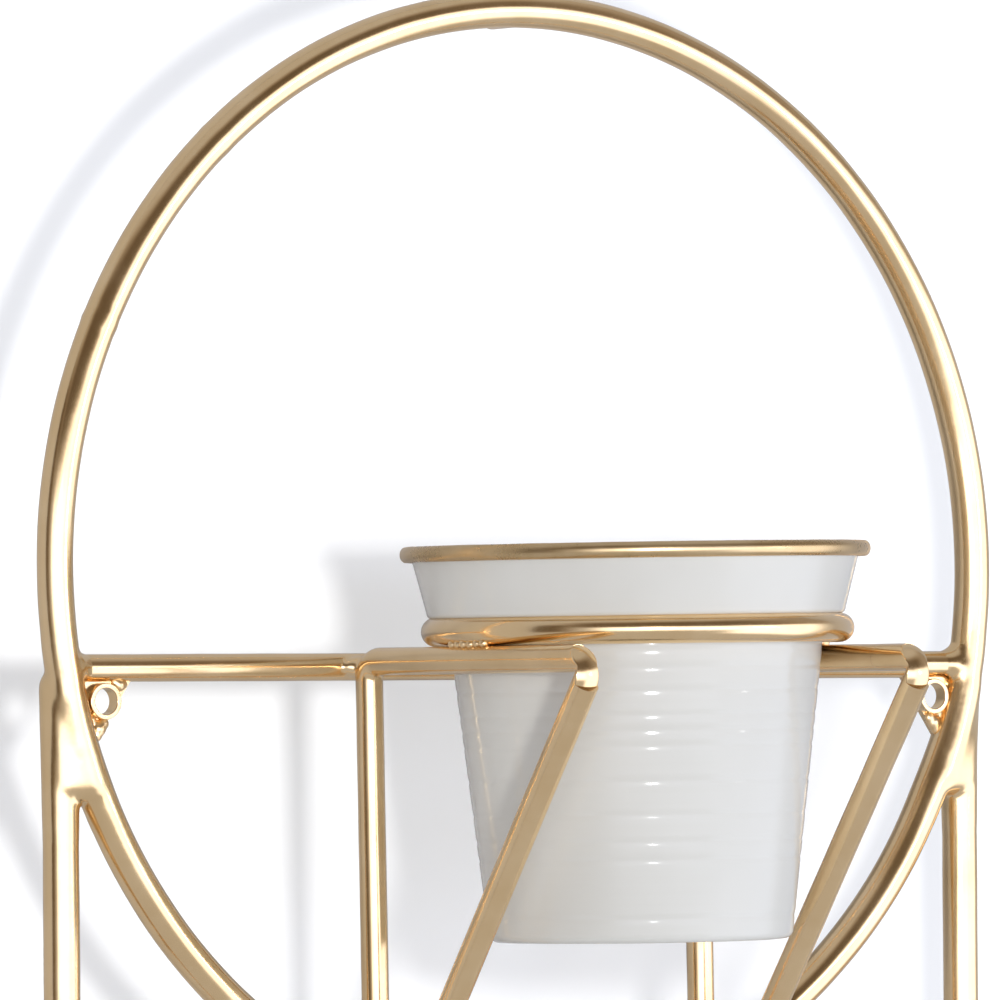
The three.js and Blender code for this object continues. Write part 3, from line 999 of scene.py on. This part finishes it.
standoff("top", outerArc("upper", 1))
standoff("bottom", outerArc("lower", -1))
for name, side in sides.items():
    rodY = planeY + sideRodShape["back"]
    reach = standoffShape["rodReach"]
    ends = [Vector((side * sideRodShape["spread"], rodY, middleZ + along)) for along in (-reach, 0, reach)]
    standoff(name, ends, rodY)
print("wall fixings made")


# Stage and light
stageSizes = {              # a plain sheet hung a little behind the frame
    "sheetY": 0.066, "width": 6.0, "top": 2.6, "bottom": -3.2,
}
studio = {
    # sheetMirrored is painted shade: the sheet's colour where the gold mirrors it, darker than sheetColor
    "sheetColor": 0.78, "sheetMirrored": 0.385, "sheetGlow": (0.19, 0.19, 0.165), "sheetPower": 7,
    "keyPlace": (-0.392, -0.870, -0.160), "keyPower": 14.5, "keySize": 0.042,
    "sidePlace": (0.75, -1.10, -0.10), "sidePower": 1.2, "sideSize": 0.06,
}
room = {                    # what the gold mirrors, by direction in degrees; 1 is as bright as white paper
    "walls": 0.53, "dim": 0.14, "strip": 2.4, "window": 1.95,
    "wallColor": (0.98, 1, 1.07), "dimColor": (1, 0.79, 0.60), "dayColor": (0.94, 1, 1.18),
    "dimHeights": (8, 20, 38, 62), "dimSides": (-95, -60, 25, 75), "dimRight": 0.55,
    "cornerSides": (-80, -62), "cornerHeights": (-22, -12, 25, 40),
    "stripHeights": (-20, -9, 6, 14), "stripSides": (-64, -46, 15, 40),
    "windowHeights": (-44, -30, 9, 18), "windowSides": (10, 28, 70, 90),
}


def paleSheet(maker):       # white from the front, open from behind so that the back can be seen
    rays = maker.node("ShaderNodeLightPath")
    behind = maker.node("ShaderNodeNewGeometry")["Backfacing"]
    glow = maker.node("ShaderNodeEmission", None, {
        "Color": (*studio["sheetGlow"], 1), "Strength": rays["Is Camera Ray"]})["Emission"]
    # painted shade: glossy rays see the sheet at sheetMirrored, darker than sheetColor, so the gold mirrors a
    # shaded wall
    seen, mirrored = ((studio[key],) * 3 + (1,) for key in ("sheetColor", "sheetMirrored"))
    paint = maker.node("ShaderNodeBsdfDiffuse", None, {
        "Color": maker.mix(rays["Is Glossy Ray"], seen, mirrored)})["BSDF"]
    front = maker.node("ShaderNodeAddShader", None, {0: glow, 1: paint})["Shader"]
    clear = maker.node("ShaderNodeBsdfTransparent")["BSDF"]
    return maker.node("ShaderNodeMixShader", None, {0: behind, 1: front, 2: clear})["Shader"]


def addSheet():
    s = stageSizes
    half = s["width"] / 2
    edges = ((-half, s["bottom"]), (half, s["bottom"]), (half, s["top"]), (-half, s["top"]))
    bm = bmesh.new()
    bm.faces.new([bm.verts.new((x, s["sheetY"], z)) for x, z in edges])
    mesh = asMesh(bm)
    mesh.materials.append(newMaterial("paleSheet", paleSheet))
    sheet = bpy.data.objects.new("paleSheet", mesh)
    bpy.context.scene.collection.objects.link(sheet)
    return sheet


def addLamp(name, place, power, size, only=None):   # a small lamp that lights near and far alike
    lamp = bpy.data.lights.new(name, "POINT")
    lamp.energy = power
    lamp.shadow_soft_size = size
    lamp.use_nodes = True
    maker = Maker(lamp.node_tree)
    even = maker.node("ShaderNodeLightFalloff", None, {"Strength": 1.0})["Constant"]
    glow = maker.node("ShaderNodeEmission", None, {"Color": (1, 1, 1, 1), "Strength": even})["Emission"]
    maker.node("ShaderNodeOutputLight", None, {"Surface": glow})
    holder = bpy.data.objects.new(name, lamp)
    bpy.context.scene.collection.objects.link(holder)
    holder.location = place
    holder.visible_camera = False
    if only:
        lit = bpy.data.collections.new(name)
        lit.objects.link(only)
        holder.light_linking.receiver_collection = lit


def roomLight(maker):       # radiance by direction, with a lit strip in front and a window to the right
    direction = maker.node("ShaderNodeTexCoord")["Generated"]
    parts = maker.node("ShaderNodeSeparateXYZ", None, {"Vector": direction})
    turn = maker.node("ShaderNodeMath", {"operation": "ARCTAN2"}, {0: parts["X"], 1: parts["Y"] * -1})
    lift = maker.node("ShaderNodeMath", {"operation": "ARCSINE"}, {0: parts["Z"]})
    side = turn["Value"] * math.degrees(1)
    height = lift["Value"] * math.degrees(1)

    def between(value, edges):
        return maker.step(value, *edges[:2]) * (1 - maker.step(value, *edges[2:]))

    dim = between(height, room["dimHeights"]) * maker.step(side, *room["dimSides"][:2])
    dim = dim * (1 - room["dimRight"] * maker.step(side, *room["dimSides"][2:]))
    corner = (1 - maker.step(side, *room["cornerSides"])) * between(height, room["cornerHeights"])
    strip = between(height, room["stripHeights"]) * between(side, room["stripSides"])
    window = between(height, room["windowHeights"]) * between(side, room["windowSides"])
    light = room["walls"] - (room["walls"] - room["dim"]) * dim.atLeast(corner)
    light = light + (room["strip"] - light) * strip
    light = light + (room["window"] - light) * window
    color = maker.mix(dim.atLeast(corner), (*room["wallColor"], 1), (*room["dimColor"], 1))
    return light, maker.mix(strip.atLeast(window), color, (*room["dayColor"], 1))


def addWorld():
    world = bpy.data.worlds.new("studioRoom")
    bpy.context.scene.world = world
    world.use_nodes = True
    maker = Maker(world.node_tree)
    camera = maker.node("ShaderNodeLightPath")["Is Camera Ray"]
    light, color = roomLight(maker)
    background = maker.node("ShaderNodeBackground", None, {     # plain white behind everything
        "Color": maker.mix(camera, color, (1, 1, 1, 1)),
        "Strength": light * (1 - camera) + camera,
    })["Background"]
    maker.node("ShaderNodeOutputWorld", None, {"Surface": background})


sheet = addSheet()
addLamp("keyLamp", studio["keyPlace"], studio["keyPower"], studio["keySize"])
addLamp("sheetLamp", studio["keyPlace"], studio["sheetPower"], studio["keySize"], sheet)
addLamp("sideLamp", studio["sidePlace"], studio["sidePower"], studio["sideSize"])
addWorld()
addCamera(cameraPlace)
bpy.context.scene.view_settings.view_transform = "Standard"
print("stage lit")
